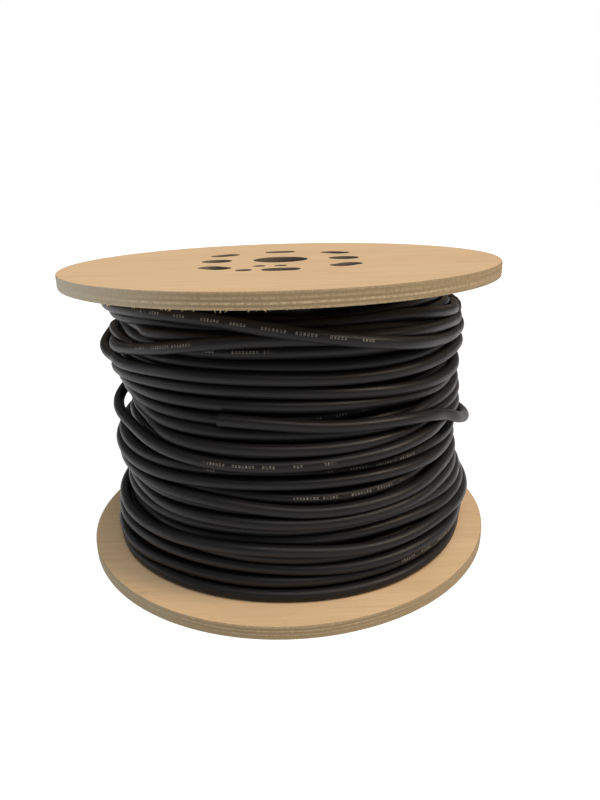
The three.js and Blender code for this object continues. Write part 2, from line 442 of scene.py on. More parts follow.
# %% [markdown]
# ## The runs of cable as paths
#
# Each run of turns becomes one line of points, a mesh with edges only, so that it can carry what
# the tube and its finish need: how far along the cable a point is, and whether the printed mark
# faces outwards there. The run S10 starts at its free end, which the winder tucked in.

# %% Turn the runs into paths
CUT_END_ANGLE = -19.5  # where the run S10 begins with its free end
PRINTED = (  # turn, from angle, to angle: where the printed side of the cable faces outwards
    ("S1", -38, 22), ("S3", -45, -22), ("Td", -22, -5), ("S14", -20, 12), ("S15", -24, -18),
    ("S15", 12, 41), ("S9", 10, 38), ("S17", 2, 34), ("S25", 29, 66), ("S6", 120, 165),
    ("S7", -160, -110), ("S16", 130, 179), ("S21", -179, -128),
    ("S24a", 110, 150), ("S3", 140, 178), ("S12", -150, -105),
)


def path_points(heights, radii):
    """Points in metres on the path of a run of whole turns."""
    around = np.radians(np.tile(angle, len(heights)))
    r, z = radii.reshape(-1), heights.reshape(-1)
    return np.column_stack([np.sin(around) * r, -np.cos(around) * r, z]) * MM


def path_mesh(name, runs):
    """One mesh of open lines, with the cable's length along it and where it is printed."""
    mesh = bpy.data.meshes.new(name)
    edges, start = [], 0
    for points, _ in runs:
        edges += [(start + i, start + i + 1) for i in range(len(points) - 1)]
        start += len(points)
    mesh.from_pydata(np.vstack([p for p, _ in runs]).tolist(), edges, [])
    steps = [np.linalg.norm(np.diff(p, axis=0, prepend=p[:1]), axis=1).cumsum() for p, _ in runs]
    along = mesh.attributes.new("cable_length", "FLOAT", "POINT")
    along.data.foreach_set("value", np.concatenate(steps).astype(np.float32))
    printed = mesh.attributes.new("cable_print", "FLOAT", "POINT")
    printed.data.foreach_set("value", np.concatenate([p for _, p in runs]).astype(np.float32))
    return link(bpy.data.objects.new(name, mesh))


print_mark = np.zeros((len(NAMES), STATIONS))
for name, start_angle, end_angle in PRINTED:
    print_mark[NAMES.index(name)] += (angle >= start_angle) & (angle <= end_angle)
outer_runs = []
row = 0
for lay in LAYS:
    rows = slice(row, row + len(lay))
    points = path_points(height[rows], radius[rows])
    marks = print_mark[rows].reshape(-1)
    if lay[0] == "S10":
        keep = int(np.searchsorted(angle, CUT_END_ANGLE))
        points, marks = points[keep:], marks[keep:]
    outer_runs.append((points, marks))
    row += len(lay)
outer_path = path_mesh("outer_path", outer_runs)
under_points = path_points(height[len(NAMES) :], radius[len(NAMES) :])[::2]
under_path = path_mesh("under_path", [(under_points, np.zeros(len(under_points)))])
cable_length = sum(np.linalg.norm(np.diff(p, axis=0), axis=1).sum() for p, _ in outer_runs)
print("cable in the outer layers:", round(cable_length, 1), "m")

# %% [markdown]
# ## Black rubber, extruded
#
# The sheath is a soft black rubber compound, pressed warm round the conductor through a die. That
# gives a satin surface: a broad, soft highlight with very fine lengthwise drag lines, and a
# little dust. Real drag lines are under a tenth of a millimetre wide. They are drawn about half a
# millimetre wide and 17 long, so that they show a little.
#
# The maker's legend is drawn only as plain ticks, with no letters. They sit in cells along the
# cable, some with a small hollow in the middle. Every nine cells hold one word, three to eight
# ticks long, and the rest stay empty as the gap. Ticks show only where the path says that the
# printed side faces outwards.

# %% Mix the black rubber
TICK_PITCH = 1.9 * MM
TICK_HALF_HEIGHT = 0.8 * MM
TICK_HALF_WIDTH = 0.27  # of a cell, and so is the next
HOLLOW_HALF_WIDTH = 0.10
HOLLOW_TICKS = 0.45  # the higher, the fewer ticks are hollow
WORD_CELLS = 9.0  # ticks and the gap after them
OUTWARDS = 0.5  # the UV map's fraction where the sheath faces straight outwards
TICK_TURNED_UP = 0.05  # fraction of a turn from there up to the printed line


def new_finish(name):
    """An empty finish: its material, its nodes, its shader and the place on the piece in metres."""
    finish = bpy.data.materials.new(name)
    finish.use_nodes = True
    nodes = finish.node_tree
    place = add(nodes, "ShaderNodeTexCoord").outputs["Object"]
    return finish, nodes, nodes.nodes["Principled BSDF"], place


rubber, tree, shader, place = new_finish("black rubber sheath extruded")
uv = add(tree, "ShaderNodeUVMap", uv_map="UVMap")
uv_parts = add(tree, "ShaderNodeSeparateXYZ", {"Vector": uv})
cell = add(tree, "ShaderNodeMath", {0: uv_parts.outputs["X"], 1: TICK_PITCH}, operation="DIVIDE")
cell_number = add(tree, "ShaderNodeMath", {0: cell}, operation="FLOOR")
dice = add(tree, "ShaderNodeTexWhiteNoise", {"W": cell_number}, noise_dimensions="1D")
cell_part = add(tree, "ShaderNodeMath", {0: cell}, operation="FRACT")
from_middle = add(tree, "ShaderNodeMath", {0: cell_part, 1: 0.5}, operation="SUBTRACT")
from_middle = add(tree, "ShaderNodeMath", {0: from_middle}, operation="ABSOLUTE")
off_line = add(tree, "ShaderNodeMath", {0: uv_parts.outputs["Y"], 1: OUTWARDS - TICK_TURNED_UP},
               operation="SUBTRACT")
off_line = add(tree, "ShaderNodeMath", {0: off_line}, operation="ABSOLUTE")
off_line = add(tree, "ShaderNodeMath", {0: off_line, 1: math.pi * CABLE * MM}, operation="MULTIPLY")
wide = add(tree, "ShaderNodeMath", {0: from_middle, 1: TICK_HALF_WIDTH}, operation="LESS_THAN")
tall = add(tree, "ShaderNodeMath", {0: off_line, 1: TICK_HALF_HEIGHT}, operation="LESS_THAN")
tick = add(tree, "ShaderNodeMath", {0: wide, 1: tall}, operation="MULTIPLY")
slim = add(tree, "ShaderNodeMath", {0: from_middle, 1: HOLLOW_HALF_WIDTH}, operation="LESS_THAN")
low = add(tree, "ShaderNodeMath", {0: off_line, 1: TICK_HALF_HEIGHT * 0.5}, operation="LESS_THAN")
hollow = add(tree, "ShaderNodeMath", {0: slim, 1: low}, operation="MULTIPLY")
hollow_cell = add(tree, "ShaderNodeMath", {0: dice, 1: HOLLOW_TICKS}, operation="GREATER_THAN")
hollow = add(tree, "ShaderNodeMath", {0: hollow, 1: hollow_cell}, operation="MULTIPLY")
tick = add(tree, "ShaderNodeMath", {0: tick, 1: hollow}, operation="SUBTRACT")
word = add(tree, "ShaderNodeMath", {0: cell_number, 1: WORD_CELLS}, operation="DIVIDE")
word_number = add(tree, "ShaderNodeMath", {0: word}, operation="FLOOR")
word_dice = add(tree, "ShaderNodeTexWhiteNoise", {"W": word_number}, noise_dimensions="1D")
word_length = add(tree, "ShaderNodeMapRange", {"Value": word_dice, "To Min": 2.5, "To Max": 7.5})
in_word = add(tree, "ShaderNodeMath", {0: cell_number, 1: WORD_CELLS}, operation="MODULO")
filled_cell = add(tree, "ShaderNodeMath", {0: in_word, 1: word_length}, operation="LESS_THAN")
print_here = add(tree, "ShaderNodeAttribute", attribute_name="cable_print").outputs["Fac"]
worn = add(tree, "ShaderNodeTexNoise", {"Vector": place, "Scale": 900.0, "Detail": 2.0})
worn = add(tree, "ShaderNodeMapRange", {"Value": worn, "From Min": 0.35, "From Max": 0.6,
                                        "To Min": 0.2})
for share in (filled_cell, print_here, worn):
    tick = add(tree, "ShaderNodeMath", {0: tick, 1: share}, operation="MULTIPLY")

dust = add(tree, "ShaderNodeTexNoise", {"Vector": place, "Scale": 45.0, "Detail": 5.0,
                                        "Roughness": 0.65})
dusty = add(tree, "ShaderNodeMapRange", {"Value": dust, "From Min": 0.42, "From Max": 0.8})
sheath = colour("#1a191a")
for amount, card in ((dusty, "#1d1b1a"), (tick, "#77726a")):
    sheath = add(tree, "ShaderNodeMix", {"Factor": amount, "A": sheath, "B": colour(card)},
                 data_type="RGBA")
gloss = add(tree, "ShaderNodeMapRange", {"Value": dust, "From Min": 0.3, "From Max": 0.75,
                                         "To Min": 0.35, "To Max": 0.52})
along = add(tree, "ShaderNodeMapping", {"Vector": uv, "Scale": (60.0, 40.0, 1.0)})
drag = add(tree, "ShaderNodeTexNoise", {"Vector": along, "Scale": 1.0, "Detail": 3.0})
drag_bump = add(tree, "ShaderNodeBump", {"Height": drag, "Strength": 0.25, "Distance": 0.1 * MM})
scuff = add(tree, "ShaderNodeTexNoise", {"Vector": place, "Scale": 260.0, "Detail": 3.0})
rough_bump = add(tree, "ShaderNodeBump", {"Height": scuff, "Normal": drag_bump, "Strength": 0.3,
                                          "Distance": 0.25 * MM})
plug(tree, shader, {"Base Color": sheath, "Roughness": gloss, "Specular IOR Level": 0.19,
                    "Normal": rough_bump})
print(rubber.name, "made of", len(tree.nodes), "nodes")

# %% [markdown]
# ## The tube round each path
#
# Geometry Nodes sweep a circle along each path: Mesh to Curve, then Curve to Mesh. The circle is
# an open arc of a full turn, so the tube gets one clean seam for its UV map, which counts metres
# along the cable and the fraction round it. Merge by Distance then closes the seam. The curve's
# normal is kept level, so the same fraction always faces outwards.

# %% Build the sweeping tree
SEAM_GAP = 0.05 * MM


def new_tree(name, outcome, inputs):
    """An empty Geometry Nodes tree with one outcome, and the outputs of its named inputs."""
    tree = bpy.data.node_groups.new(name, "GeometryNodeTree")
    for label, kind in inputs.items():
        tree.interface.new_socket(name=label, in_out="INPUT", socket_type="NodeSocket" + kind)
    tree.interface.new_socket(name=outcome, in_out="OUTPUT", socket_type="NodeSocketGeometry")
    return tree, add(tree, "NodeGroupInput").outputs


sweep, given = new_tree("sweep a cable", "Cable", {
    "Path": "Geometry",
    "Cable radius": "Float",
    "Sides": "Int",
    "Sheath": "Material",
})
line = add(sweep, "GeometryNodeMeshToCurve", {"Mesh": given["Path"]})
line = add(sweep, "GeometryNodeSetCurveNormal", {"Curve": line}, mode="Z_UP")
points_round = add(sweep, "ShaderNodeMath", {0: given["Sides"], 1: 1.0}, operation="ADD")
circle = add(sweep, "GeometryNodeCurveArc", {
    "Resolution": points_round,
    "Radius": given["Cable radius"],
    "Start Angle": math.pi,
    "Sweep Angle": math.tau,
}, mode="RADIUS")
round_part = add(sweep, "GeometryNodeSplineParameter").outputs["Factor"]
circle = add(sweep, "GeometryNodeStoreNamedAttribute", {
    "Geometry": circle,
    "Name": "round_part",
    "Value": round_part,
}, data_type="FLOAT", domain="POINT")
tube = add(sweep, "GeometryNodeCurveToMesh", {"Curve": line, "Profile Curve": circle})
u = add(sweep, "GeometryNodeInputNamedAttribute", {"Name": "cable_length"}, data_type="FLOAT")
v = add(sweep, "GeometryNodeInputNamedAttribute", {"Name": "round_part"}, data_type="FLOAT")
uv_value = add(sweep, "ShaderNodeCombineXYZ", {"X": u, "Y": v})
tube = add(sweep, "GeometryNodeStoreNamedAttribute", {
    "Geometry": tube,
    "Name": "UVMap",
    "Value": uv_value,
}, data_type="FLOAT2", domain="CORNER")
tube = add(sweep, "GeometryNodeMergeByDistance", {"Geometry": tube, "Distance": SEAM_GAP})
tube = add(sweep, "GeometryNodeSetShadeSmooth", {"Geometry": tube})
tube = add(sweep, "GeometryNodeRealizeInstances", {"Geometry": tube})
tube = add(sweep, "GeometryNodeSetMaterial", {"Geometry": tube, "Material": given["Sheath"]})
add(sweep, "NodeGroupOutput", {"Cable": tube})
print(sweep.name, "made of", len(sweep.nodes), "nodes")


# %% [markdown]
# ## Sweeping the runs
#
# The tree is put on each path as a modifier, its inputs are set, and the result is taken off as a
# plain mesh. The tube is open at both ends, so a flat cap closes each, sharp-edged like a cut.

# %% Sweep the runs
def grown(path, tree, values, name):
    """A plain mesh object made from a path by a Geometry Nodes tree with these inputs."""
    modifier = path.modifiers.new(tree.name, "NODES")
    modifier.node_group = tree
    for item in tree.interface.items_tree:
        if item.in_out == "INPUT" and item.name in values:
            modifier[item.identifier] = values[item.name]
    evaluated = path.evaluated_get(bpy.context.evaluated_depsgraph_get())
    mesh = bpy.data.meshes.new_from_object(evaluated)
    mesh.name = name
    bpy.data.objects.remove(path)
    return link(bpy.data.objects.new(name, mesh))


def close_ends(piece):
    """Caps the open ends of a tube with flat, sharp-edged faces, and turns all faces outwards."""
    work = bmesh.new()
    work.from_mesh(piece.data)
    rims = [edge for edge in work.edges if edge.is_boundary]
    caps = bmesh.ops.holes_fill(work, edges=rims, sides=0)["faces"]
    for face in caps:
        face.smooth = False
    for edge in rims:
        edge.smooth = False
    bmesh.ops.recalc_face_normals(work, faces=work.faces)
    work.to_mesh(piece.data)
    work.free()
    return len(caps)


def triangles(piece):
    return sum(len(face.vertices) - 2 for face in piece.data.polygons)


def finish_piece(piece, slot, *nodes):
    """Tells the frame what a piece rides on and the CAD nodes it stands for. The slot is not used."""
    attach(piece, "root")
    if nodes:
        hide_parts(*nodes)
    print(piece.name, triangles(piece), "triangles")


sheathed = {"Cable radius": CABLE / 2 * MM, "Sheath": rubber}
outer_turns = grown(outer_path, sweep, {**sheathed, "Sides": 16}, "outer_turns")
inner_turns = grown(under_path, sweep, {**sheathed, "Sides": 8}, "inner_turns")
print("ends closed:", close_ends(outer_turns), close_ends(inner_turns))
finish_piece(outer_turns, "cable_rubber", "cable")
finish_piece(inner_turns, "cable_rubber", "cable")

# %% [markdown]
# ## The wound mass underneath
#
# Deeper turns can't be seen, but light must not shine between the outer ones to the barrel. One
# turned ring with a scalloped outside stands for them, from the barrel out to the hidden layer.

# %% Turn the wound mass
MASS_RADIUS = 97.0
MASS_STEPS = 72
SCALLOP_POINTS = 4
SCALLOP_DEPTH = 2.5
CLEARANCE = 0.3
SHARP_CORNER = math.radians(50)


def ring_piece(name, points, finish):
    """A closed skin through rows of points that joins up both ways, with its faces outwards."""
    rows, columns = points.shape[:2]
    faces = [
        (a * columns + i, a * columns + (i + 1) % columns,
         (a + 1) % rows * columns + (i + 1) % columns, (a + 1) % rows * columns + i)
        for a in range(rows)
        for i in range(columns)
    ]
    mesh = bpy.data.meshes.new(name)
    mesh.from_pydata((points.reshape(-1, 3) * MM).tolist(), [], faces)
    work = bmesh.new()
    work.from_mesh(mesh)
    bmesh.ops.recalc_face_normals(work, faces=work.faces)
    work.to_mesh(mesh)
    work.free()
    mesh.materials.append(finish)
    mesh.shade_smooth()
    mesh.set_sharp_from_angle(angle=SHARP_CORNER)
    return link(bpy.data.objects.new(name, mesh))


def turned(outline, steps):
    """Points on a closed outline of (radius, height), turned round the drum's axis."""
    turn = np.arange(steps) * math.tau / steps
    r, z = np.array(outline).T
    return np.stack([
        np.sin(turn)[:, None] * r,
        -np.cos(turn)[:, None] * r,
        np.broadcast_to(z, (steps, len(z))),
    ], axis=-1)


scallop_heights = np.linspace(HIGHEST + CABLE / 2 - CLEARANCE, LOWEST - CABLE / 2 + CLEARANCE,
                              UNDER_TURNS * SCALLOP_POINTS + 1)
scallops = MASS_RADIUS + SCALLOP_DEPTH * np.abs(
    np.sin(np.arange(len(scallop_heights)) * math.pi / SCALLOP_POINTS)
)
bottom, top = scallop_heights[-1], scallop_heights[0]
mass_outline = [(BARREL_RADIUS + CLEARANCE, bottom), (BARREL_RADIUS + CLEARANCE, top)]
mass_outline += list(zip(scallops, scallop_heights))
wound_mass = ring_piece("wound_mass", turned(mass_outline, MASS_STEPS), rubber)
finish_piece(wound_mass, "cable_rubber", "cable")

# %% [markdown]
# ## Birch plywood, sanded
#
# The flanges are cut from thin birch plywood. Its sanded face is pale and even, with faint long
# grain, slightly darker soft patches, a few short dark pores and some grey scuffs from handling.
# The finish reads the piece's own place in metres, squeezed across the grain. A real grain line is
# about half a millimetre wide, too fine to show well, so it is drawn about two millimetres wide
# and seven centimetres long, with finer ones in it. Patches, pores and scuffs are three more
# clouds of noise, each stretched its own way along the grain.

# %% Mix the sanded face
STAINS = (  # stretch, noise, where it begins and is full, strength, colour
    ((9.0, 22.0, 1.0), {"Detail": 3.0}, 0.45, 0.75, 0.55, "#bfa07b"),  # soft patches
    ((120.0, 1500.0, 60.0), {"Detail": 2.0}, 0.68, 0.76, 0.35, "#8d6c47"),  # pores
    ((28.0, 130.0, 1.0), {"Detail": 5.0, "Roughness": 0.7}, 0.6, 0.72, 0.4, "#8f8069"),  # scuffs
)

face_ply, tree, shader, place = new_finish("birch plywood face sanded")
grain_place = add(tree, "ShaderNodeMapping", {"Vector": place, "Scale": (14.0, 420.0, 60.0)})
grain = add(tree, "ShaderNodeTexNoise", {"Vector": grain_place, "Scale": 1.0, "Detail": 6.0,
                                         "Roughness": 0.6, "Distortion": 0.3})
grain_level = add(tree, "ShaderNodeMapRange", {"Value": grain, "From Min": 0.3, "From Max": 0.75})
wood = add(tree, "ShaderNodeMix", {"Factor": grain_level, "A": colour("#d0b48e"),
                                   "B": colour("#c4a780")}, data_type="RGBA")
for stretch, noise, begins, full, most, card in STAINS:
    stain_place = add(tree, "ShaderNodeMapping", {"Vector": place, "Scale": stretch})
    stain = add(tree, "ShaderNodeTexNoise", {"Vector": stain_place, "Scale": 1.0, **noise})
    amount = add(tree, "ShaderNodeMapRange", {"Value": stain, "From Min": begins, "From Max": full,
                                              "To Max": most})
    wood = add(tree, "ShaderNodeMix", {"Factor": amount, "A": wood, "B": colour(card)},
               data_type="RGBA")
sheen = add(tree, "ShaderNodeMapRange", {"Value": grain, "To Min": 0.55, "To Max": 0.75})
grain_bump = add(tree, "ShaderNodeBump", {"Height": grain, "Strength": 0.25, "Distance": 0.15 * MM})
plug(tree, shader, {"Base Color": wood, "Roughness": sheen, "Specular IOR Level": 0.3,
                    "Normal": grain_bump})
print(face_ply.name, "made of", len(tree.nodes), "nodes")

# %% [markdown]
# ## Plywood edge, sawn
#
# The rim shows the plies. Seven sheets lie with their grain crossed, so round the rim each one
# turns from smooth long grain to dark, rough end grain and back. The mesh carries a number,
# ply_depth, that goes from 0 at the outer face to 1 at the inner one, and the finish cuts that
# into plies. The grain of the even plies runs along X and of the odd ones along Y.
#
# Use shows on the edge too. The plies near the outer face are soiled, because they rub on the
# floor and on hands, and the lower flange's edge is darker all through. The left side is painted
# lighter and greyer, as painted cool light from the left, the upper flange's edge more than the
# lower one's. Torn fibres are a tenth of a millimetre across, so they are drawn as coarser specks of
# one to two.

# %% Mix the sawn edge and the cut holes
PLIES = 7
LOWER_EDGE = 20 * MM  # a little above the lower flange
UPPER_EDGE = 180 * MM  # a little below the upper one


def edge_finish(name, long_grain, end_grain, glue, speckle):
    """A plywood edge: long and end grain by the direction the edge faces, and thin glue lines."""
    finish, tree, shader, place = new_finish(name)
    depth = add(tree, "ShaderNodeAttribute", attribute_name="ply_depth").outputs["Fac"]
    ply = add(tree, "ShaderNodeMath", {0: depth, 1: float(PLIES)}, operation="MULTIPLY")
    wander = add(tree, "ShaderNodeTexNoise", {"Vector": place, "Scale": 25.0})
    wander = add(tree, "ShaderNodeMapRange", {"Value": wander, "To Min": -0.35, "To Max": 0.35})
    ply = add(tree, "ShaderNodeMath", {0: ply, 1: wander}, operation="ADD")
    number = add(tree, "ShaderNodeMath", {0: ply}, operation="FLOOR")
    odd = add(tree, "ShaderNodeMath", {0: number, 1: 2.0}, operation="MODULO")
    normal = add(tree, "ShaderNodeNewGeometry").outputs["Normal"]
    facing = add(tree, "ShaderNodeSeparateXYZ", {"Vector": normal}).outputs
    facing_x, facing_y = (
        add(tree, "ShaderNodeMath", {0: facing[axis], 1: 2.0}, operation="POWER") for axis in "XY"
    )
    end = add(tree, "ShaderNodeMix", {"Factor": odd, "A": facing_x, "B": facing_y})
    ply_dice = add(tree, "ShaderNodeTexWhiteNoise", {"W": number}, noise_dimensions="1D")
    ply_tone = add(tree, "ShaderNodeMapRange", {"Value": ply_dice, "To Min": -0.25, "To Max": 0.25})
    end = add(tree, "ShaderNodeMath", {0: end, 1: ply_tone}, operation="ADD", use_clamp=True)
    fibre_place = add(tree, "ShaderNodeMapping", {"Vector": place, "Scale": (1.0, 1.0, 0.6)})
    fibre = add(tree, "ShaderNodeTexNoise", {"Vector": fibre_place, "Scale": 700.0, "Detail": 3.0,
                                             "Roughness": 0.75})
    fibre_level = add(tree, "ShaderNodeMapRange", {"Value": fibre, "From Min": 0.42,
                                                   "From Max": 0.62})
    speck = add(tree, "ShaderNodeMath", {0: fibre_level, 1: speckle}, operation="MULTIPLY")
    in_ply = add(tree, "ShaderNodeMath", {0: ply}, operation="FRACT")
    glue_line = add(tree, "ShaderNodeMapRange", {"Value": in_ply, "From Min": 0.0, "From Max": 0.16,
                                                 "To Min": 0.55, "To Max": 0.0})
    rubbed = add(tree, "ShaderNodeMapRange", {"Value": depth, "From Min": 0.1, "From Max": 0.55,
                                              "To Min": 0.6, "To Max": 0.0})
    spot = add(tree, "ShaderNodeSeparateXYZ", {"Vector": place}).outputs
    up_drum = {"Value": spot["Z"], "From Min": LOWER_EDGE, "From Max": UPPER_EDGE}
    # Darker towards the bottom: the lower flange's edge is mixed towards the end grain colour all
    # through.
    low_down = add(tree, "ShaderNodeMapRange", {**up_drum, "To Min": 0.4, "To Max": 0.0})
    rubbed_and_low_darkened = add(tree, "ShaderNodeMath", {0: rubbed, 1: low_down}, operation="MAXIMUM")
    # Painted light: the edge is mixed towards pale grey on the left, standing in for a cool light from
    # that side, less on the lower flange.
    to_left = add(tree, "ShaderNodeMapRange", {"Value": spot["X"], "From Min": -40 * MM,
                                               "From Max": -135 * MM, "To Max": 0.65})
    high_up = add(tree, "ShaderNodeMapRange", {**up_drum, "To Min": 0.3})
    painted_cool_light = add(tree, "ShaderNodeMath", {0: to_left, 1: high_up}, operation="MULTIPLY")
    wood = long_grain
    for amount, tint in ((end, end_grain), (speck, end_grain), (glue_line, glue),
                         (rubbed_and_low_darkened, end_grain), (painted_cool_light, colour("#c2bcab"))):
        wood = add(tree, "ShaderNodeMix", {"Factor": amount, "A": wood, "B": tint},
                   data_type="RGBA")
    bump = add(tree, "ShaderNodeBump", {"Height": fibre, "Strength": 0.6, "Distance": 0.3 * MM})
    plug(tree, shader, {"Base Color": wood, "Roughness": 0.8, "Specular IOR Level": 0.19,
                        "Normal": bump})
    return finish


rim_ply = edge_finish("birch plywood edge sawn", colour("#b09c7c"), colour("#877558"),
                      colour("#79684c"), 0.8)
# The walls of the holes get much darker colours than the rim's sawn edge.
hole_ply = edge_finish("birch plywood edge routed, darker", colour("#716657"),
                       colour("#514a40"), colour("#3b3631"), 0.6)
print("two edge finishes:", rim_ply.name, "and", hole_ply.name)

# %% [markdown]
# ## The flanges
#
# Each flange is a disc with a bore, two drive holes, a ring of milled slots and, on the upper one
# only, three small drilled holes. Both flat faces are filled by a Delaunay triangulation, which
# leaves the holes open. The walls of the rim and the holes are rings of quads between them. The
# rim is wavy by a tenth of a millimetre, row by row, because the saw tears end grain and leaves
# long grain smooth. On the inside runs the groove that takes the barrel.

# %% Write down the holes
BORE = 38.0
DRIVE_HOLES = ((45, 0, 21), (-45, 0, 21))
SMALL_HOLES = ((-23, -59, 10), (-14, -38, 8), (0, -39, 8))
SLOT_ANGLES = (45, 90, 135, 225, 270, 315)
SLOT_RING = 60.0
SLOT_LENGTH = 24.0
SLOT_WIDTH = 15.0
SLOT_CORNER = 7.2
GROOVE = (69.7, 75.3, 3.0)  # inner radius, outer radius, depth
EASE = 0.6  # the sharp arris is taken off
HOLE_EASE = 0.35
RIM_STEPS = 288
RIM_ROWS = 15
GROOVE_STEPS = 96


def round_loop(x, y, radius, steps):
    turn = np.arange(steps) * math.tau / steps
    return np.column_stack([x + radius * np.cos(turn), y + radius * np.sin(turn)])


def slot_loop(slot_angle, grow):
    """The outline of one slot, its long side across the radius, made larger by grow."""
    half_width = SLOT_WIDTH / 2 + grow
    half_length = SLOT_LENGTH / 2 + grow
    corner = SLOT_CORNER + grow
    outline = []
    for quarter, (x, y) in enumerate(((1, 1), (-1, 1), (-1, -1), (1, -1))):
        for step in np.radians(np.arange(0, 91, 15) + 90 * quarter):
            outline.append((
                SLOT_RING + x * (half_width - corner) + corner * math.cos(step),
                y * (half_length - corner) + corner * math.sin(step),
            ))
    turn = math.radians(slot_angle)
    spin = np.array([[math.cos(turn), math.sin(turn)], [-math.sin(turn), math.cos(turn)]])
    return np.array(outline) @ spin


def hole_loops(grow, small_holes):
    """The outlines of every hole through a flange, each made larger by grow."""
    loops = [round_loop(0, 0, BORE / 2 + grow, 72)]
    for x, y, diameter in (*DRIVE_HOLES, *small_holes):
        loops.append(round_loop(x, y, diameter / 2 + grow, 40))
    return loops + [slot_loop(a, grow) for a in SLOT_ANGLES]


print(len(hole_loops(0, SMALL_HOLES)), "holes in the upper flange,", len(hole_loops(0, ())), "below")

# %% [markdown]
# ## Building a flange
#
# A small class gathers rings of points and the walls between them, with the finish of each face.
# The flange is built by its depth below the outer face, so one function makes both: the lower one
# counts its heights up from the floor, the upper one down from the drum's full width.

# %% Build the flanges
TEAR = 0.10  # how far the saw tears end grain
RAGGED = 0.05  # how unevenly it leaves all grain


def inside(loop, x, y):
    """Whether a point lies inside a closed outline."""
    ahead = np.roll(loop, -1, axis=0)
    spans = (loop[:, 1] > y) != (ahead[:, 1] > y)
    rise = ahead[:, 1] - loop[:, 1]
    rise[rise == 0] = 1e-12
    cross = loop[:, 0] + (y - loop[:, 1]) / rise * (ahead[:, 0] - loop[:, 0])
    return (spans & (x < cross)).sum() % 2 == 1


class Shell:
    """Points and faces gathered for one mesh, each face with the number of its finish."""

    def __init__(self):
        self.points, self.depths, self.faces, self.finishes, self.flat = [], [], [], [], []

    def ring(self, loop, depth):
        start = len(self.points)
        self.points += [(x, y, depth) for x, y in loop]
        self.depths += [depth / PLY_THICKNESS] * len(loop)
        return range(start, start + len(loop))

    def wall(self, one, two, finish, flat=False):
        n = len(one)
        for i in range(n):
            self.faces.append((one[i], one[(i + 1) % n], two[(i + 1) % n], two[i]))
            self.finishes.append(finish)
            self.flat.append(flat)

    def fill(self, outer, holes, finish):
        """A flat face between an outer ring and the rings of its holes."""
        rings = [outer, *holes]
        order = [i for ring in rings for i in ring]
        flat_points = [Vector(self.points[i][:2]) for i in order]
        borders, start = [], 0
        for ring in rings:
            n = len(ring)
            borders += [(start + i, start + (i + 1) % n) for i in range(n)]
            start += n
        loops = [np.array([self.points[i][:2] for i in ring]) for ring in holes]
        made = delaunay_2d_cdt(flat_points, borders, [], 1, 1e-6)
        for face in made[2]:
            middle = sum((made[0][i] for i in face), Vector((0, 0))) / len(face)
            if any(inside(loop, *middle) for loop in loops):
                continue
            self.faces.append(tuple(order[made[3][i][0]] for i in face))
            self.finishes.append(finish)
            self.flat.append(True)


def flange(name, to_height, small_holes, seed):
    """A flange whose depth below its outer face is turned to a height by to_height."""
    shell = Shell()
    saw = np.random.default_rng(seed)
    outer_holes = [shell.ring(loop, 0) for loop in hole_loops(HOLE_EASE, small_holes)]
    edge = shell.ring(round_loop(0, 0, FLANGE_RADIUS - EASE, RIM_STEPS), 0)
    shell.fill(edge, outer_holes, 0)
    depths = np.concatenate([[EASE * 0.3], np.linspace(EASE, PLY_THICKNESS - EASE, RIM_ROWS),
                             [PLY_THICKNESS - EASE * 0.3]])
    ragged = saw.normal(0, RAGGED, (len(depths), RIM_STEPS))
    ragged = 0.5 * ragged + 0.25 * (np.roll(ragged, 1, 1) + np.roll(ragged, -1, 1))
    across = np.arange(RIM_STEPS) * math.tau / RIM_STEPS
    last = edge
    for row, depth in enumerate(depths):
        odd = int(depth / PLY_THICKNESS * PLIES) % 2
        tearing = np.sin(across) ** 2 if odd else np.cos(across) ** 2
        inset = TEAR * tearing + np.abs(ragged[row]) * (0.5 + tearing)
        inset += EASE * 0.3 if row in (0, len(depths) - 1) else 0
        ring_radius = FLANGE_RADIUS - inset
        loop = np.column_stack([np.cos(across) * ring_radius, np.sin(across) * ring_radius])
        ring = shell.ring(loop, depth)
        shell.wall(last, ring, 1)
        last = ring
    inner_edge = shell.ring(round_loop(0, 0, FLANGE_RADIUS - EASE, RIM_STEPS), PLY_THICKNESS)
    shell.wall(last, inner_edge, 1)
    groove_in, groove_out, groove_depth = GROOVE
    groove_floor = PLY_THICKNESS - groove_depth
    lip = shell.ring(round_loop(0, 0, groove_out, GROOVE_STEPS), PLY_THICKNESS)
    shell.fill(inner_edge, [lip], 0)
    last = lip
    for ring_radius, depth in ((groove_out, groove_floor), (groove_in, groove_floor),
                               (groove_in, PLY_THICKNESS)):
        boss = shell.ring(round_loop(0, 0, ring_radius, GROOVE_STEPS), depth)
        shell.wall(last, boss, 2, True)
        last = boss
    inner_holes = [shell.ring(loop, PLY_THICKNESS) for loop in hole_loops(HOLE_EASE, small_holes)]
    shell.fill(boss, inner_holes, 0)
    for start, end, loop in zip(outer_holes, inner_holes, hole_loops(0, small_holes)):
        top = shell.ring(loop, HOLE_EASE)
        bottom = shell.ring(loop, PLY_THICKNESS - HOLE_EASE)
        shell.wall(start, top, 2)
        shell.wall(top, bottom, 2)
        shell.wall(bottom, end, 2)
    mesh = bpy.data.meshes.new(name)
    points = [(x * MM, y * MM, to_height(depth) * MM) for x, y, depth in shell.points]
    mesh.from_pydata(points, [], shell.faces)
    depth_data = mesh.attributes.new("ply_depth", "FLOAT", "POINT")
    depth_data.data.foreach_set("value", shell.depths)
    for finish in (face_ply, rim_ply, hole_ply):
        mesh.materials.append(finish)
    mesh.polygons.foreach_set("material_index", shell.finishes)
    mesh.polygons.foreach_set("use_smooth", [not f for f in shell.flat])
    work = bmesh.new()
    work.from_mesh(mesh)
    bmesh.ops.recalc_face_normals(work, faces=work.faces)
    for seam in work.edges:
        if not all(face.smooth for face in seam.link_faces):
            seam.smooth = False
    open_edges = sum(not seam.is_manifold for seam in work.edges)
    work.to_mesh(mesh)
    work.free()
    print(name, "open edges:", open_edges)
    return link(bpy.data.objects.new(name, mesh))


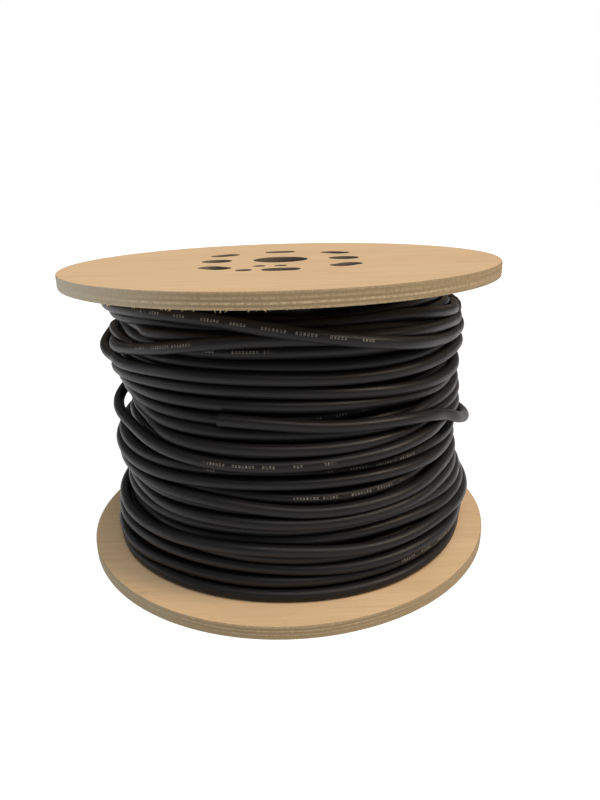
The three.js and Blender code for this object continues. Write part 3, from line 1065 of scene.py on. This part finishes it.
lower_flange = flange("lower_flange_ply", lambda depth: depth, (), 11)
upper_flange = flange("upper_flange_ply", lambda depth: DRUM_WIDTH - depth, SMALL_HOLES, 12)
finish_piece(lower_flange, "plywood", "lower_flange")
finish_piece(upper_flange, "plywood", "upper_flange")

# %% [markdown]
# ## The barrel
#
# The barrel is a tube wound from strips of brown board, glued on a slant. Only its inside can be
# seen, through the slots. Along the slanting joint its wall has a groove, 0.3 mm deep.

# %% Wind the barrel
BARREL_WALL = 5.0
BARREL_STEPS = 96
BARREL_ROWS = 48
BOARD_STRIP = 70.0  # height that the joint climbs in one turn
JOINT_DEPTH = 0.3
JOINT_SHARE = 0.03  # of a strip's height

board, tree, shader, place = new_finish("brown board spiral wound")
fibre = add(tree, "ShaderNodeTexNoise", {"Vector": place, "Scale": 320.0, "Detail": 4.0,
                                         "Roughness": 0.65})
mottle = add(tree, "ShaderNodeTexNoise", {"Vector": place, "Scale": 30.0, "Detail": 3.0})
tone = add(tree, "ShaderNodeMath", {0: fibre, 1: mottle}, operation="MULTIPLY")
tone = add(tree, "ShaderNodeMapRange", {"Value": tone, "From Min": 0.12, "From Max": 0.42})
brown = add(tree, "ShaderNodeMix", {"Factor": tone, "A": colour("#8f7150"),
                                    "B": colour("#b8976c")}, data_type="RGBA")
board_bump = add(tree, "ShaderNodeBump", {"Height": fibre, "Strength": 0.4, "Distance": 0.2 * MM})
plug(tree, shader, {"Base Color": brown, "Roughness": 0.85, "Specular IOR Level": 0.19,
                    "Normal": board_bump})

rows = np.linspace(BARREL_ENDS[0], BARREL_ENDS[1], BARREL_ROWS)
turn = np.arange(BARREL_STEPS) * math.tau / BARREL_STEPS
joint = (rows[:, None] / BOARD_STRIP + turn[None, :] / math.tau) % 1.0
groove = JOINT_DEPTH * np.clip(1 - np.minimum(joint, 1 - joint) / JOINT_SHARE, 0, 1)
skins = []
for skin_radius in (BARREL_RADIUS - groove, BARREL_RADIUS - BARREL_WALL + groove):
    skins.append(np.stack([
        np.sin(turn) * skin_radius,
        -np.cos(turn) * skin_radius,
        np.broadcast_to(rows[:, None], groove.shape),
    ], axis=-1))
barrel = ring_piece("barrel_tube", np.concatenate([skins[0], skins[1][::-1]]), board)
finish_piece(barrel, "barrel_board", "barrel")

# %% [markdown]
# ## Splinters under the rim
#
# The saw came out at the lower edge of the upper flange and tore some fibres loose at the front.
# Geometry Nodes set thin four-sided wedges along that stretch of the edge, each with its own
# length, lean and thickness from a fixed seed.

# %% Grow the splinters
SPLINTERS = 34
SPLINTER_ARC = (-40.0, 2.0)
SPLINTER_LENGTH = 1.5 * MM
SPLINTER_THICKNESS = 0.16 * MM
SPLINTER_ROOT = 0.1  # how far up in the wood they begin, in mm

splinter_wood, tree, shader, place = new_finish("birch fibres torn")
fibre = add(tree, "ShaderNodeTexNoise", {"Vector": place, "Scale": 600.0})
pale = add(tree, "ShaderNodeMix", {"Factor": fibre, "A": colour("#d8c29c"),
                                   "B": colour("#bfa27a")}, data_type="RGBA")
plug(tree, shader, {"Base Color": pale, "Roughness": 0.8})

tearing, given = new_tree("tear fibres out of an edge", "Splinters", {
    "Edge": "Geometry",
    "Length": "Float",
    "Thickness": "Float",
    "Seed": "Int",
    "Wood": "Material",
})
wedge = add(tearing, "GeometryNodeMeshCone", {
    "Vertices": 4,
    "Radius Top": 0.02 * MM,
    "Radius Bottom": given["Thickness"],
    "Depth": given["Length"],
})
lean = add(tearing, "FunctionNodeRandomValue", {
    "Min": (math.radians(120), math.radians(-50), 0.0),
    "Max": (math.radians(200), math.radians(50), math.tau),
    "Seed": given["Seed"],
}, data_type="FLOAT_VECTOR")
lean = add(tearing, "FunctionNodeEulerToRotation", {"Euler": lean})
stretch = add(tearing, "FunctionNodeRandomValue", {
    "Min": (0.6, 0.6, 0.25),
    "Max": (1.6, 1.6, 1.3),
    "Seed": given["Seed"],
}, data_type="FLOAT_VECTOR")
torn = add(tearing, "GeometryNodeInstanceOnPoints", {
    "Points": given["Edge"],
    "Instance": wedge.outputs["Mesh"],
    "Rotation": lean,
    "Scale": stretch,
})
torn = add(tearing, "GeometryNodeRealizeInstances", {"Geometry": torn})
torn = add(tearing, "GeometryNodeSetMaterial", {"Geometry": torn, "Material": given["Wood"]})
add(tearing, "NodeGroupOutput", {"Splinters": torn})

spread = np.random.default_rng(5)
at = np.radians(np.sort(spread.uniform(*SPLINTER_ARC, SPLINTERS)))
edge_height = DRUM_WIDTH - PLY_THICKNESS + SPLINTER_ROOT
edge_radius = FLANGE_RADIUS - EASE
edge_mesh = bpy.data.meshes.new("torn_edge")
edge_mesh.from_pydata(
    [(math.sin(a) * edge_radius * MM, -math.cos(a) * edge_radius * MM, edge_height * MM) for a in at],
    [],
    [],
)
edge_points = link(bpy.data.objects.new("torn_edge", edge_mesh))
splinters = grown(edge_points, tearing, {
    "Length": SPLINTER_LENGTH,
    "Thickness": SPLINTER_THICKNESS,
    "Seed": 3,
    "Wood": splinter_wood,
}, "rim_splinters")
finish_piece(splinters, "plywood")
